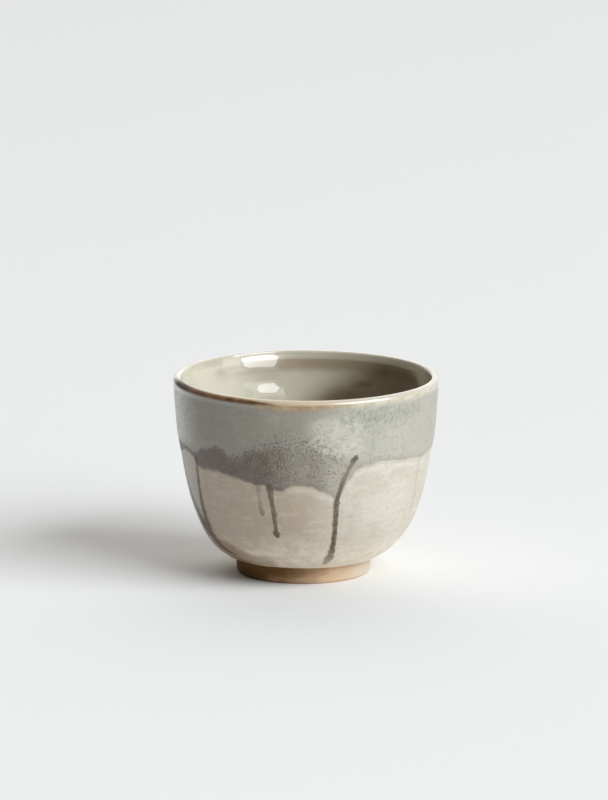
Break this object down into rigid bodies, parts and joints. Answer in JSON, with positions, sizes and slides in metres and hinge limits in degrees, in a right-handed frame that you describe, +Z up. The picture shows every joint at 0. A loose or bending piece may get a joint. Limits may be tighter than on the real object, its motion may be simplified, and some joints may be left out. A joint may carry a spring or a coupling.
{
  "type": "guinomi sake cup",
  "caption": "Small round hand-thrown stoneware sake cup on a bare foot ring: pale glaze, a grey-green band that runs down the wall, an amber lip and a glazed inside.",
  "frame": {"origin": "centre of the foot ring's underside, on the table", "axes": "+Z up along the cup's turning axis, -Y towards the side that the picture shows, +X to that side's right"},
  "size_m": [0.072, 0.072, 0.054],
  "materials": {
    "bare_clay": "matte",
    "thrown_clay": "matte",
    "liner_glaze": "gloss",
    "pale_glaze": "satin",
    "dark_glaze": "satin",
    "grey_glaze": "satin",
    "amber_glaze": "gloss"
  },
  "bodies": {
    "root": {"foot_ring": "bare_clay", "bowl": "thrown_clay", "liner_glaze": "liner_glaze", "outer_glaze": "pale_glaze", "band_glaze": "dark_glaze", "veil_glaze": "grey_glaze", "lip_glaze": "amber_glaze", "long_run": "dark_glaze", "second_run": "dark_glaze", "short_run": "dark_glaze", "left_run": "dark_glaze", "side_run": "dark_glaze", "right_run": "dark_glaze", "back_right_run": "dark_glaze", "back_middle_run": "dark_glaze", "back_left_run": "dark_glaze", "far_left_run": "dark_glaze"}
  },
  "joints": []
}
